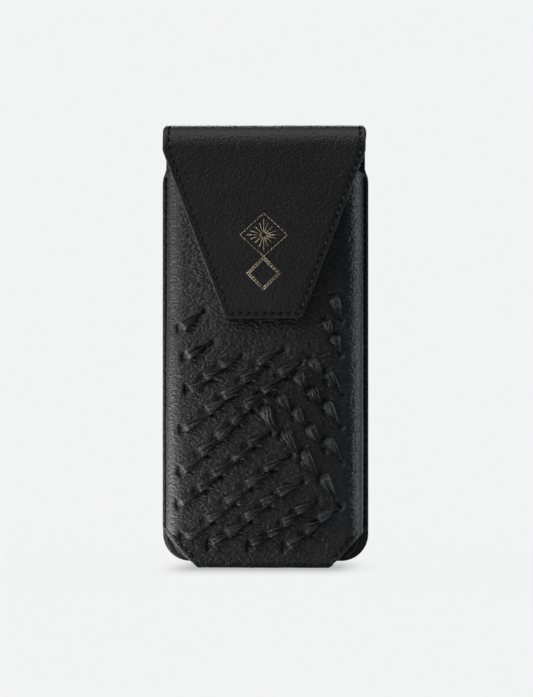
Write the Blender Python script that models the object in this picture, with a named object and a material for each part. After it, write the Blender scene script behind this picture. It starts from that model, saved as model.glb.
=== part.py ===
"""Slim upright pouch of black pebbled leather, open at the top under a long tapered flap.

X runs across the pouch, -Y is its front, +Z is up.  The pouch stands on its folded base,
and its origin is the middle of its box at the bottom.  The front leather is one wrapped
piece: flanges sewn to the back, rounded sides, a front decorated with leather laces that
weave in and out of slits, and a base that folds under and laps up the back.  The two
bottom corners are cut off and left open.  The back leather runs up into a half-round
spine and down again as the flap, which is held by a hidden pair of magnets.
"""
import math

import bmesh
import bpy
from mathutils import Matrix, Vector

MM = 0.001
GAP = 0.3                      # air between neighbouring pieces, mm

# Overall shape, all in millimetres
HEIGHT = 174.0                 # base to the top of the fold
HALF_FLANGE = 40.4             # centre to the outer edge of the side seam
HALF_BODY = 38.6               # centre to the outside of a side wall
HALF_NECK = 39.1               # back leather above the shoulders
HALF_FLAP = 39.7               # flap and spine
DEPTH_AT_BASE = 26.5           # back leather's outer face to the front's, at the bottom
DEPTH_AT_MOUTH = 15.03
MOUTH_Z = 156.0                # front edge of the pouch's mouth
SHOULDER_Z = 157.0             # where the back narrows to its neck
SHOULDER_DROP = 4.0

# Layers
FRONT_LEATHER = 1.3
BACK_LEATHER = 1.3
BOARD = 1.0
LINING = 0.7
FLAP_LEATHER = 1.0
FLAP_BOARD = 0.7
LACE_ROOM = 1.3                # space behind the front leather where the laces cross

# Bends
FRONT_CORNER = 7.0             # outer radius between front and side
FLANGE_BEND = 0.55             # radius on the outside, where side wall meets flange
BASE_FOLD = 2.5
TOP_FOLD = 9.5                 # outer radius of the spine
LAP_HEIGHT = 8.0

# Cut corners
BASE_HALF = 25.6               # half-width of the base between the cuts
CUT_ANGLE = math.radians(46)
BACK_BOTTOM_Z = 2.2
BACK_CORNER = 10.5
BOARD_HALF = 36.6              # stiffener in the back
BACK_LINING_HALF = 36.9

# Flap outline, measured down its own slope from the fold line
FLAP_STRAIGHT = 1.2
FLAP_LENGTH = 67.3
FLAP_TIP_HALF = 14.9
FLAP_TIP_CORNER = 2.0
SEAM_INSET = 1.95              # stitch line to edge
CORE_INSET = 3.2               # flap's edge to its stiffener
FLAP_LINING_INSET = 0.8
SPINE_LINING_INSET = 1.0

# Magnets and emblem
MAGNET_RADIUS = 6.0
MAGNET_THICKNESS = 0.7
MAGNET_DOWN = 57.0             # below the fold line, along the flap
EMBLEM_DOWN = 41.0
EMBLEM_WIDTH = 18.6            # upper lozenge
UPPER_HEIGHT = 17.5
UPPER_RISE = 6.0               # its middle above the emblem's
LOWER_WIDTH = 13.0
LOWER_HEIGHT = 14.0
LOWER_DROP = 8.5
EMBLEM_LINE = 1.1
FOIL = 0.2

THREAD_RADIUS = 0.3
FACE_FRONT = Matrix.Rotation(math.pi / 2, 3, "X")      # lays a Z-axis disc into the X-Z plane

# Laces
LACE_WIDTH = 2.6
LACE_THICKNESS = 0.7
LACE_CREST = 0.5               # extra height at the middle of a stitch
LACE_HIDDEN = 2.6              # slit to slit behind the leather
LACE_SLANT = 0.9               # run along the row while it passes through a slit
LACE_TAIL = 1.6                # loose end behind the first and last slit
SLIT_LENGTH = 1.8
# Rows of stitches: lower left end (x, z), upper right end (x, z), number of stitches
RISING_ROWS = (
    ((-31.0, 93.8), (-25.6, 100.5), 1),
    ((-29.5, 82.8), (-22.4, 89.1), 1),
    ((-28.7, 69.8), (-10.6, 83.9), 3),
    ((-29.1, 54.5), (6.3, 85.9), 5),
    ((-30.3, 37.9), (13.0, 80.9), 7),
    ((-31.0, 24.6), (1.0, 53.3), 5),
    ((-28.7, 11.6), (9.0, 44.6), 5),
    ((-19.7, 8.1), (13.4, 34.4), 5),
    ((-3.5, 8.1), (19.3, 25.8), 4),
    ((11.0, 7.7), (28.3, 23.8), 3),
)
# Rows that fall to the right: upper left end, lower right end, number of stitches
FALLING_ROWS = (
    ((26.3, 105.6), (30.6, 98.5), 1),
    ((24.0, 95.7), (30.8, 85.1), 2),
    ((18.6, 80.7), (30.8, 69.8), 2),
    ((13.0, 74.9), (30.3, 56.8), 3),
    ((5.5, 66.3), (30.7, 42.7), 4),
    ((-0.4, 61.5), (30.8, 26.1), 4),
)

ARC_STEPS = 5
BEND_STEPS = 3
FOLD_STEPS = 4
SPINE_STEPS = 14

FOLD_Z = HEIGHT - TOP_FOLD
SLOPE = math.atan((DEPTH_AT_BASE - DEPTH_AT_MOUTH) / MOUTH_Z)
BACK_STACK = BACK_LEATHER + GAP + BOARD + GAP + LINING

for old in list(bpy.data.objects):
    bpy.data.objects.remove(old, do_unlink=True)


# ---------------------------------------------------------------- materials

def material(name, color, roughness, metallic=0.0):
    made = bpy.data.materials.new(name)
    made.use_nodes = True
    shader = made.node_tree.nodes["Principled BSDF"]
    shader.inputs["Base Color"].default_value = (*color, 1.0)
    shader.inputs["Roughness"].default_value = roughness
    shader.inputs["Metallic"].default_value = metallic
    return made


BLACK_LEATHER = ((0.018, 0.018, 0.020), 0.45)
FLAP_BLACK = ((0.014, 0.015, 0.016), 0.50)
LACE_BLACK = ((0.010, 0.010, 0.011), 0.28)
LINING_BLACK = ((0.020, 0.019, 0.019), 0.85)
BOARD_GREY = ((0.20, 0.18, 0.16), 0.90)
THREAD_BLACK = ((0.012, 0.012, 0.012), 0.60)
STEEL = ((0.55, 0.55, 0.56), 0.35)
GOLD = ((0.72, 0.58, 0.33), 0.38)


# ---------------------------------------------------------------- places

case = bpy.data.objects.new("case", None)
bpy.context.collection.objects.link(case)

spine_hinge = bpy.data.objects.new("spine_hinge", None)
bpy.context.collection.objects.link(spine_hinge)
spine_hinge.parent = case
spine_hinge.location = (0.0, 0.0, FOLD_Z * MM)

# The front end of the half-round, where the flap begins; it leans out by the front's slope.
FLAP_LINE_Y = -TOP_FOLD - TOP_FOLD * math.cos(SLOPE)
FLAP_LINE_Z = FOLD_Z + TOP_FOLD * math.sin(SLOPE)
flap_hinge = bpy.data.objects.new("flap_hinge", None)
bpy.context.collection.objects.link(flap_hinge)
flap_hinge.parent = spine_hinge
flap_hinge.location = (0.0, FLAP_LINE_Y * MM, (FLAP_LINE_Z - FOLD_Z) * MM)
flap_hinge.rotation_euler = (-SLOPE, 0.0, 0.0)


def finish(obj, parent, look):
    """Parent an object, give it its own material and shade its bends smooth."""
    bpy.context.collection.objects.link(obj)
    obj.parent = parent
    color, roughness = look
    metallic = 1.0 if look in (STEEL, GOLD) else 0.0
    obj.data.materials.append(material(obj.name, color, roughness, metallic))
    if obj.type == "MESH":
        obj.data.shade_smooth()
        obj.data.set_sharp_from_angle(angle=math.radians(35))
    return obj


def mesh_object(name, bm, parent, look):
    bmesh.ops.remove_doubles(bm, verts=bm.verts, dist=1e-7)
    bmesh.ops.recalc_face_normals(bm, faces=bm.faces)
    mesh = bpy.data.meshes.new(name)
    bm.to_mesh(mesh)
    bm.free()
    return finish(bpy.data.objects.new(name, mesh), parent, look)


# ---------------------------------------------------------------- builders

def plate(name, outline, near, far, parent, look):
    """Extrude an outline in X and Z from y = near to y = far."""
    bm = bmesh.new()
    rim = [bm.verts.new((x * MM, near * MM, z * MM)) for x, z in outline]
    face = bm.faces.new(rim)
    grown = bmesh.ops.extrude_face_region(bm, geom=[face])
    moved = [v for v in grown["geom"] if isinstance(v, bmesh.types.BMVert)]
    bmesh.ops.translate(bm, verts=moved, vec=(0.0, (far - near) * MM, 0.0))
    return mesh_object(name, bm, parent, look)


def sheet(name, rows, thickness, parent, look, keep=None):
    """Close a grid of (point, outward normal) into a sheet that thickens inwards."""
    bm = bmesh.new()
    outer = {}
    inner = {}
    cells = [(i, j) for i in range(len(rows) - 1) for j in range(len(rows[0]) - 1)
             if keep is None or keep(i, j)]
    used = {(i + a, j + b) for i, j in cells for a in (0, 1) for b in (0, 1)}
    for i, j in sorted(used):
        point, normal = rows[i][j]
        outer[i, j] = bm.verts.new(point * MM)
        inner[i, j] = bm.verts.new((point - normal * thickness) * MM)
    borders = {}
    for i, j in cells:
        ring = ((i, j), (i + 1, j), (i + 1, j + 1), (i, j + 1))
        bm.faces.new([outer[key] for key in ring])
        bm.faces.new([inner[key] for key in reversed(ring)])
        for start, end in zip(ring, ring[1:] + ring[:1]):
            if (end, start) in borders:
                del borders[end, start]
            else:
                borders[start, end] = True
    for start, end in borders:
        bm.faces.new((outer[end], outer[start], inner[start], inner[end]))
    return mesh_object(name, bm, parent, look)


def cord(name, points, radius, parent, look):
    """A thin round thread along straight runs between points."""
    curve = bpy.data.curves.new(name, "CURVE")
    curve.dimensions = "3D"
    curve.bevel_depth = radius * MM
    curve.bevel_resolution = 0
    curve.use_fill_caps = True
    spline = curve.splines.new("POLY")
    spline.points.add(len(points) - 1)
    for target, point in zip(spline.points, points):
        target.co = (point[0] * MM, point[1] * MM, point[2] * MM, 1.0)
    return finish(bpy.data.objects.new(name, curve), parent, look)


def boolean(target, cutter, operation):
    """Cut or join with a helper object that isn't part of the pouch itself."""
    bpy.context.collection.objects.link(cutter)
    cutter.parent = target.parent
    cutter.hide_render = True
    cutter.display_type = "WIRE"
    modifier = target.modifiers.new(operation.lower(), "BOOLEAN")
    modifier.operation = operation
    modifier.solver = "EXACT"
    modifier.object = cutter


def arc(center, radius, start, end, steps):
    """Points of an arc in two dimensions, angles in degrees."""
    angles = [math.radians(start + (end - start) * k / steps) for k in range(steps + 1)]
    return [(center[0] + radius * math.cos(a), center[1] + radius * math.sin(a)) for a in angles]


# ---------------------------------------------------------------- front leather and its lining

def depth_at(z):
    """Distance from the back leather's outer face to the front leather's."""
    return DEPTH_AT_BASE + (DEPTH_AT_MOUTH - DEPTH_AT_BASE) * z / MOUTH_Z


def cut_half(z, inset=0.0):
    """Half-width between the two slanting corner cuts at height z."""
    return BASE_HALF - inset + z / math.tan(CUT_ANGLE)


def cut_height(x, inset=0.0):
    """Height of the slanting cut at a distance x from the middle."""
    return (abs(x) - BASE_HALF + inset) * math.tan(CUT_ANGLE)


def half_section(half, radius, inset, seam_y, flange):
    """Right half of the pouch's outline: (x, y offset, uses depth, normal), front to back.

    The first points lie on the front and on the corner arc, so they move with the depth.
    The others belong to the back end of the side wall, which stays where it is.
    """
    points = []
    for k in range(ARC_STEPS + 1):
        angle = math.radians(-90 + 90 * k / ARC_STEPS)
        normal = Vector((math.cos(angle), math.sin(angle), 0.0))
        x = half - radius + radius * normal.x
        points.append((x, inset + radius + radius * normal.y, True, normal))
    if not flange:
        points.append((half, seam_y, False, Vector((1.0, 0.0, 0.0))))
        return points
    front_of_flange = seam_y - FRONT_LEATHER
    center = (half + FLANGE_BEND, front_of_flange - FLANGE_BEND)
    for k in range(BEND_STEPS + 1):
        angle = math.radians(180 - 90 * k / BEND_STEPS)
        away = Vector((math.cos(angle), math.sin(angle), 0.0))
        points.append((center[0] + FLANGE_BEND * away.x, center[1] + FLANGE_BEND * away.y,
                       False, -away))
    points.append((HALF_FLANGE, front_of_flange, False, Vector((0.0, -1.0, 0.0))))
    return points


def wrapped_sheet(name, half, radius, inset, seam_y, base_z, fold, end_y, lap_top,
                  top_z, thickness, cut_inset, look, flange):
    """The front: a hat-shaped wall, folded under as a base and, if lap_top, up the back."""
    low_z = base_z + fold
    inner = cut_half(low_z, cut_inset)
    right = half_section(half, radius, inset, seam_y, flange)
    mirrored = [(-x, y, moves, Vector((-n.x, n.y, 0.0))) for x, y, moves, n in reversed(right)]
    middle = [(x, inset, True, Vector((0.0, -1.0, 0.0))) for x in (-inner, inner)]
    section = mirrored + middle + right
    first = len(mirrored)

    rows = [[], []]
    for x, y, moves, normal in section:
        bottom = low_z if abs(x) <= inner else cut_height(x, cut_inset)
        for row, z in zip(rows, (top_z, bottom)):
            row.append((Vector((x, y - depth_at(z) if moves else y, z)), normal))

    # Folding under: (y, z, outward normal in Y and Z), from the front to the lap
    front_y = inset - depth_at(low_z)
    run = []
    for k in range(1, FOLD_STEPS + 1):
        angle = math.radians(180 + 90 * k / FOLD_STEPS)
        run.append((front_y + fold + fold * math.cos(angle), low_z + fold * math.sin(angle),
                    math.cos(angle), math.sin(angle)))
    if lap_top:
        for k in range(FOLD_STEPS + 1):
            angle = math.radians(270 + 90 * k / FOLD_STEPS)
            run.append((end_y - fold + fold * math.cos(angle), low_z + fold * math.sin(angle),
                        math.cos(angle), math.sin(angle)))
        run.append((end_y, lap_top, 1.0, 0.0))
    else:
        run.append((end_y, base_z, 0.0, -1.0))
    for y, z, normal_y, normal_z in run:
        scale = cut_half(z, cut_inset) / inner
        rows.append([(Vector((x * scale, y, z)), Vector((0.0, normal_y, normal_z)))
                     for x, *_ in section])
    return sheet(name, rows, thickness, case, look,
                 keep=lambda i, j: i == 0 or j == first)


SEAM_Y = -BACK_LEATHER - GAP          # back face of the flanges
LAP_Y = GAP + FRONT_LEATHER           # outer face of the lap behind the back leather
front_panel = wrapped_sheet("front_panel", HALF_BODY, FRONT_CORNER, 0.0, SEAM_Y, 0.0, BASE_FOLD,
                            LAP_Y, LAP_HEIGHT, MOUTH_Z, FRONT_LEATHER, 0.0,
                            BLACK_LEATHER, flange=True)

LINING_INSET = FRONT_LEATHER + LACE_ROOM
LINING_BACK_Y = -BACK_STACK - GAP
wrapped_sheet("front_lining", HALF_BODY - LINING_INSET, FRONT_CORNER - LINING_INSET,
              LINING_INSET, LINING_BACK_Y, FRONT_LEATHER + GAP, 1.2, LINING_BACK_Y, None,
              MOUTH_Z - 0.5, LINING, 1.0, LINING_BLACK, flange=False)


# ---------------------------------------------------------------- laces and their slits

def front_face(x, z):
    """Outer surface of the front leather, also round its corners."""
    beyond = max(0.0, abs(x) - (HALF_BODY - FRONT_CORNER))
    return -depth_at(z) + FRONT_CORNER - math.sqrt(FRONT_CORNER ** 2 - beyond ** 2)


def lace_profile(length, stitches):
    """Distances along a row and heights over the leather that a lace runs through."""
    over = GAP + LACE_THICKNESS / 2
    under = -FRONT_LEATHER - GAP - LACE_THICKNESS / 2
    visible = (length - (stitches - 1) * LACE_HIDDEN) / stitches
    half_slant = LACE_SLANT / 2
    points = [(-LACE_TAIL, under)]
    slits = []
    for k in range(stitches):
        start = k * (visible + LACE_HIDDEN)
        end = start + visible
        points += [(start - half_slant, under), (start + half_slant, over),
                   (start + visible * 0.3, over + LACE_CREST),
                   (start + visible * 0.6, over + LACE_CREST * 0.8),
                   (end - half_slant, over), (end + half_slant, under)]
        slits += [start, end]
    points.append((length + LACE_TAIL, under))
    return points, slits


def mitred(points, thickness):
    """Offset a polyline both ways, keeping its thickness through the bends."""
    pairs = []
    for k, point in enumerate(points):
        here = Vector(point)
        before = (here - Vector(points[k - 1])).normalized() if k else None
        after = (Vector(points[k + 1]) - here).normalized() if k < len(points) - 1 else None
        before = before or after
        after = after or before
        along = (before + after).normalized()
        across = Vector((-along.y, along.x))
        reach = thickness / 2 / max(0.5, across.dot(Vector((-before.y, before.x))))
        pairs.append((here + across * reach, here - across * reach))
    return pairs


def lace(name, start, end, stitches, slit_boxes):
    """One flat lace that goes in and out along a row, and the boxes that cut its slits."""
    origin = Vector((start[0], 0.0, start[1]))
    along = Vector((end[0] - start[0], 0.0, end[1] - start[1]))
    length = along.length
    along.normalize()
    across = Vector((-along.z, 0.0, along.x))
    points, slits = lace_profile(length, stitches)

    def placed(distance, side, height):
        flat = origin + along * distance + across * side
        flat.y = -depth_at(flat.z) - height
        return flat * MM

    bm = bmesh.new()
    rings = []
    for upper, lower in mitred(points, LACE_THICKNESS):
        ring = [(upper, 0.5), (upper, -0.5), (lower, -0.5), (lower, 0.5)]
        rings.append([bm.verts.new(placed(p.x, side * LACE_WIDTH, p.y)) for p, side in ring])
    for a, b in zip(rings, rings[1:]):
        for k in range(4):
            bm.faces.new((a[k], a[(k + 1) % 4], b[(k + 1) % 4], b[k]))
    bm.faces.new(rings[0])
    bm.faces.new(rings[-1])
    mesh_object(name, bm, case, LACE_BLACK)

    half_width = LACE_WIDTH / 2 + GAP
    for slit in slits:
        corners = [(slit + a * SLIT_LENGTH / 2, b * half_width)
                   for a, b in ((-1, -1), (1, -1), (1, 1), (-1, 1))]
        top = [slit_boxes.verts.new(placed(t, s, 2.0)) for t, s in corners]
        bottom = [slit_boxes.verts.new(placed(t, s, -FRONT_LEATHER - 1.0)) for t, s in corners]
        slit_boxes.faces.new(top)
        slit_boxes.faces.new(list(reversed(bottom)))
        for k in range(4):
            slit_boxes.faces.new((top[k], bottom[k], bottom[(k + 1) % 4], top[(k + 1) % 4]))


slit_cutter_bm = bmesh.new()
for index, (row_start, row_end, count) in enumerate(RISING_ROWS, 1):
    lace(f"lace_rising_{index}", row_start, row_end, count, slit_cutter_bm)
for index, (row_start, row_end, count) in enumerate(FALLING_ROWS, 1):
    lace(f"lace_falling_{index}", row_start, row_end, count, slit_cutter_bm)
bmesh.ops.recalc_face_normals(slit_cutter_bm, faces=slit_cutter_bm.faces)
slit_mesh = bpy.data.meshes.new("slit_cutter")
slit_cutter_bm.to_mesh(slit_mesh)
slit_cutter_bm.free()
boolean(front_panel, bpy.data.objects.new("slit_cutter", slit_mesh), "DIFFERENCE")


# ---------------------------------------------------------------- back

def back_outline(half, bottom, corner, top, neck):
    """Back shape: round bottom corners, straight sides, soft shoulders, narrower neck."""
    right = arc((half - corner, bottom + corner), corner, -90, 0, 6)
    drop = SHOULDER_DROP
    step = half - neck
    if step > 0:
        right += [(half, SHOULDER_Z - drop), (half - step * 0.25, SHOULDER_Z - drop * 0.45),
                  (neck, SHOULDER_Z)]
    right.append((neck, top))
    return right + [(-x, z) for x, z in reversed(right)]


plate("back_panel", back_outline(HALF_FLANGE, BACK_BOTTOM_Z, BACK_CORNER, FOLD_Z - GAP, HALF_NECK),
      -BACK_LEATHER, 0.0, case, BLACK_LEATHER)
board_y = -BACK_LEATHER - GAP
board_outline = back_outline(BOARD_HALF, BACK_BOTTOM_Z + 1.0, BACK_CORNER - 3.0, FOLD_Z - 6.0,
                             BOARD_HALF)
plate("back_board", board_outline, board_y - BOARD, board_y, case, BOARD_GREY)
lining_y = board_y - BOARD - GAP
lining_outline = back_outline(BACK_LINING_HALF, BACK_BOTTOM_Z + 0.6, BACK_CORNER - 3.0,
                              FOLD_Z - GAP, BACK_LINING_HALF)
plate("back_lining", lining_outline, lining_y - LINING, lining_y, case, LINING_BLACK)


# ---------------------------------------------------------------- magnet behind the front

def disc(name, x, y, z, radius, thickness, parent, look):
    """A round magnet lying in the X-Z plane."""
    bm = bmesh.new()
    bmesh.ops.create_cone(bm, cap_ends=True, segments=20, radius1=radius * MM,
                          radius2=radius * MM, depth=thickness * MM)
    bmesh.ops.rotate(bm, verts=bm.verts, cent=(0, 0, 0), matrix=FACE_FRONT)
    bmesh.ops.translate(bm, verts=bm.verts, vec=(x * MM, y * MM, z * MM))
    return mesh_object(name, bm, parent, look)


magnet_z = FLAP_LINE_Z - MAGNET_DOWN * math.cos(SLOPE)
magnet_y = -depth_at(magnet_z) + FRONT_LEATHER + LACE_ROOM / 2
front_magnet = disc("front_magnet", 0.0, 0.0, 0.0, MAGNET_RADIUS, MAGNET_THICKNESS, case, STEEL)
front_magnet.location = (0.0, magnet_y * MM, magnet_z * MM)
front_magnet.rotation_euler = (-SLOPE, 0.0, 0.0)


# ---------------------------------------------------------------- spine

def spine_rows(radius, half):
    """The half-round over the mouth, in the spine's own frame, from back to front."""
    first = math.degrees(GAP / TOP_FOLD)
    last = 180 - math.degrees(SLOPE) - first
    rows = []
    for k in range(SPINE_STEPS + 1):
        angle = math.radians(first + (last - first) * k / SPINE_STEPS)
        normal = Vector((0.0, math.cos(angle), math.sin(angle)))
        middle = Vector((0.0, -TOP_FOLD, 0.0)) + normal * radius
        rows.append([(middle + Vector((x, 0.0, 0.0)), normal) for x in (-half, half)])
    return rows


sheet("spine_leather", spine_rows(TOP_FOLD, HALF_FLAP), BACK_LEATHER, spine_hinge, FLAP_BLACK)
sheet("spine_lining", spine_rows(TOP_FOLD - BACK_LEATHER - GAP, HALF_FLAP - SPINE_LINING_INSET), LINING,
      spine_hinge, LINING_BLACK)


# ---------------------------------------------------------------- flap, in its own frame

def flap_half(down):
    """Half-width of the flap at a distance below the fold line."""
    share = max(0.0, down - FLAP_STRAIGHT) / (FLAP_LENGTH - FLAP_STRAIGHT)
    return HALF_FLAP + (FLAP_TIP_HALF - HALF_FLAP) * share


def flap_outline(inset, top):
    """Tapered outline with rounded tip corners, inset evenly from the leather's edge."""
    lean = math.atan((HALF_FLAP - FLAP_TIP_HALF) / (FLAP_LENGTH - FLAP_STRAIGHT))
    side_inset = inset / math.cos(lean)
    tip = FLAP_LENGTH - inset
    corner = FLAP_TIP_CORNER
    tip_half = flap_half(tip) - side_inset
    reach = corner * math.tan((math.pi / 2 - lean) / 2)
    right = [(flap_half(top) - side_inset, -top)]
    if top < FLAP_STRAIGHT:
        right.append((flap_half(FLAP_STRAIGHT) - side_inset, -FLAP_STRAIGHT))
    right.append((tip_half + reach * math.sin(lean), -tip + reach * math.cos(lean)))
    right.append((tip_half - reach * 0.25, -tip + reach * 0.25))
    right.append((tip_half - reach, -tip))
    return [(-x, z) for x, z in right] + right[::-1]


plate("flap_leather", flap_outline(0.0, GAP), 0.0, FLAP_LEATHER, flap_hinge, FLAP_BLACK)
core_y = FLAP_LEATHER + GAP
flap_core = plate("flap_core", flap_outline(CORE_INSET, 3.0), core_y, core_y + FLAP_BOARD,
                  flap_hinge, BOARD_GREY)
flap_lining_y = core_y + FLAP_BOARD + GAP
plate("flap_lining", flap_outline(FLAP_LINING_INSET, GAP), flap_lining_y,
      flap_lining_y + LINING, flap_hinge, LINING_BLACK)
disc("flap_magnet", 0.0, core_y + FLAP_BOARD / 2, -MAGNET_DOWN, MAGNET_RADIUS, FLAP_BOARD,
     flap_hinge, STEEL)

hole_bm = bmesh.new()
bmesh.ops.create_cone(hole_bm, cap_ends=True, segments=20, radius1=(MAGNET_RADIUS + GAP) * MM,
                      radius2=(MAGNET_RADIUS + GAP) * MM, depth=4 * MM)
bmesh.ops.rotate(hole_bm, verts=hole_bm.verts, cent=(0, 0, 0), matrix=FACE_FRONT)
hole_mesh = bpy.data.meshes.new("magnet_hole")
hole_bm.to_mesh(hole_mesh)
hole_bm.free()
magnet_hole = bpy.data.objects.new("magnet_hole", hole_mesh)
boolean(flap_core, magnet_hole, "DIFFERENCE")
magnet_hole.location = (0.0, (core_y + FLAP_BOARD / 2) * MM, -MAGNET_DOWN * MM)


# ---------------------------------------------------------------- emblem

def lozenge_ring(width, height, center_z, line):
    """A diamond-shaped frame of foil, as a mesh."""
    bm = bmesh.new()
    loops = []
    for shrink in (0.0, line):
        half_w = width / 2 - shrink * math.hypot(width, height) / height
        half_h = height / 2 - shrink * math.hypot(width, height) / width
        loops.append([(half_w, 0.0), (0.0, half_h), (-half_w, 0.0), (0.0, -half_h)])
    foil_y = -GAP - FOIL
    layers = [[[bm.verts.new((x * MM, y * MM, (center_z + z) * MM)) for x, z in loop]
               for loop in loops] for y in (foil_y, foil_y + FOIL)]
    for k in range(4):
        m = (k + 1) % 4
        for (outer, inner) in layers:
            bm.faces.new((outer[k], outer[m], inner[m], inner[k]))
        for near, far in zip(layers[0], layers[1]):
            bm.faces.new((near[k], near[m], far[m], far[k]))
    bmesh.ops.recalc_face_normals(bm, faces=bm.faces)
    return bm


upper_bm = lozenge_ring(EMBLEM_WIDTH, UPPER_HEIGHT, -EMBLEM_DOWN + UPPER_RISE, EMBLEM_LINE)
emblem = mesh_object("emblem", upper_bm, flap_hinge, GOLD)
lower_bm = lozenge_ring(LOWER_WIDTH, LOWER_HEIGHT, -EMBLEM_DOWN - LOWER_DROP, EMBLEM_LINE)
lower_mesh = bpy.data.meshes.new("emblem_lower")
lower_bm.to_mesh(lower_mesh)
lower_bm.free()
boolean(emblem, bpy.data.objects.new("emblem_lower", lower_mesh), "UNION")


# ---------------------------------------------------------------- threads

thread_lift = GAP + THREAD_RADIUS
for side, side_name in ((-1, "left"), (1, "right")):
    seam_x = side * (HALF_FLANGE - 0.65)
    seam_y = SEAM_Y - FRONT_LEATHER - thread_lift
    cord(f"side_thread_{side_name}",
         [(seam_x, seam_y, cut_height(seam_x) + 1.5), (seam_x, seam_y, MOUTH_Z - 2.0)],
         THREAD_RADIUS, case, THREAD_BLACK)
    corner_points = []
    for k in range(8):
        x = side * (BASE_HALF + 1.2 + k * 1.45)
        z = cut_height(x) + 2.3
        corner_points.append((x, front_face(x, z) - thread_lift - 0.15, z))
    cord(f"corner_thread_{side_name}", corner_points, THREAD_RADIUS, case, THREAD_BLACK)

mouth_z = MOUTH_Z - 2.2
mouth_half = HALF_BODY - FRONT_CORNER
cord("mouth_thread", [(x, -depth_at(mouth_z) - thread_lift, mouth_z)
                      for x in (-mouth_half, mouth_half)], THREAD_RADIUS, case, THREAD_BLACK)
lap_z = LAP_HEIGHT - 2.0
cord("base_thread", [(x, LAP_Y + thread_lift, lap_z) for x in (-cut_half(lap_z) + 2.0,
                                                               cut_half(lap_z) - 2.0)],
     THREAD_RADIUS, case, THREAD_BLACK)

tip_half = flap_half(FLAP_LENGTH - SEAM_INSET) - SEAM_INSET * 0.75
top_half = HALF_FLAP - SEAM_INSET * 1.1
flap_seam = [(-top_half, 2.0), (-tip_half, FLAP_LENGTH - SEAM_INSET),
             (tip_half, FLAP_LENGTH - SEAM_INSET), (top_half, 2.0)]
cord("flap_thread", [(x, -thread_lift, -down) for x, down in flap_seam], THREAD_RADIUS,
     flap_hinge, THREAD_BLACK)


# ---------------------------------------------------------------- origin

def centre_on_own_box():
    """Move the whole pouch along Y so that its origin is in the middle of its box."""
    bpy.context.view_layer.update()
    graph = bpy.context.evaluated_depsgraph_get()
    depths = []
    for obj in bpy.data.objects:
        if obj.type == "EMPTY" or obj.hide_render:
            continue
        shown = obj.evaluated_get(graph)
        mesh = shown.to_mesh()
        depths += [(shown.matrix_world @ v.co).y for v in mesh.vertices]
        shown.to_mesh_clear()
    case.location.y = -(min(depths) + max(depths)) / 2


centre_on_own_box()
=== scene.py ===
"""Looks of a slim black leather pouch: pebbled leather, laced front, stitched tapered flap.

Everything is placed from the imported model's frame.  Lengths here are millimetres and are
turned into metres when a mesh is made.  X runs across, -Y is the front, +Z is up.
"""
import math
import random

import bpy
import numpy as np
from mathutils import Matrix, Vector, noise
from mathutils.kdtree import KDTree


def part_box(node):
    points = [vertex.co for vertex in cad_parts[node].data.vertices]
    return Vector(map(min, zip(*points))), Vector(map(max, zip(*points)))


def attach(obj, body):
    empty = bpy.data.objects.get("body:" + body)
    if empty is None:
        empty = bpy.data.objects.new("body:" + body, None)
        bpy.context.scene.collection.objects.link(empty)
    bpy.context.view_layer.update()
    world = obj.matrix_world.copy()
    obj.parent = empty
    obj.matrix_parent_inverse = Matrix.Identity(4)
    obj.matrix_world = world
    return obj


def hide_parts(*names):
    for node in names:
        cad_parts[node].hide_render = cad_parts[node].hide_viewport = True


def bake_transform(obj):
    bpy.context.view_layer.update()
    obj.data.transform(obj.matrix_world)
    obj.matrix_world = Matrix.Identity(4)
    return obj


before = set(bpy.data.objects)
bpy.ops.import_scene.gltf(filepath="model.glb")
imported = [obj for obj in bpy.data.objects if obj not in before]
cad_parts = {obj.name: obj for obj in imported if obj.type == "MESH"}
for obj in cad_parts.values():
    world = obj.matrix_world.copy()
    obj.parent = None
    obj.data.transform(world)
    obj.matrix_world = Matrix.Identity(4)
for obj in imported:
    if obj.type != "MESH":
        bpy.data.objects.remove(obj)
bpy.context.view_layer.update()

MM = 0.001


def corner(node, which):
    """A CAD node's lowest (0) or highest (1) corner in millimetres."""
    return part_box(node)[which] / MM


# ---- sizes, from the frame; the second group is the CAD part's own

BACK_Y = corner("back_panel", 1).y  # outer face of the back leather
BACK_LOW = corner("back_panel", 0).z
BACK_HALF = corner("back_panel", 1).x
TOP_Z = corner("spine_leather", 1).z
HALF_FLAP = corner("flap_leather", 1).x
FLAP_TIP_Z = corner("flap_leather", 0).z
MOUTH_Z = corner("front_panel", 1).z
LAP_Y = corner("front_panel", 1).y

HALF_BODY = 38.6
HALF_NECK = 39.1
SHOULDER_Z = 157.0
SHOULDER_DROP = 4.5
DEPTH_AT_BASE = 26.5
DEPTH_AT_MOUTH = 15.03
TOP_FOLD = 9.5
BASE_FOLD = 2.5
BASE_HALF = 25.6
CUT_SLOPE = math.tan(math.radians(46))
FRONT_CORNER = 7.0
FLANGE_BEND = 0.55
BACK_CORNER = 10.5
LAP_HEIGHT = 8.0
LEATHER = 1.3
LACE_ROOM = 1.3
FLAP_TIP_HALF = 14.9
BACK_STACK = 3.6
FOLD_Z = TOP_Z - TOP_FOLD
SLOPE = math.atan((DEPTH_AT_BASE - DEPTH_AT_MOUTH) / MOUTH_Z)
FLAP_LINE = Vector((0.0, BACK_Y - TOP_FOLD * (1 + math.cos(SLOPE)),
                    FOLD_Z + TOP_FOLD * math.sin(SLOPE)))

FLAT_HALF = HALF_BODY - FRONT_CORNER  # half-width of the front between its round corners
CUT_COS = math.cos(math.atan(CUT_SLOPE))
FORWARD = Vector((0.0, -1.0, 0.0))

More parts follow.
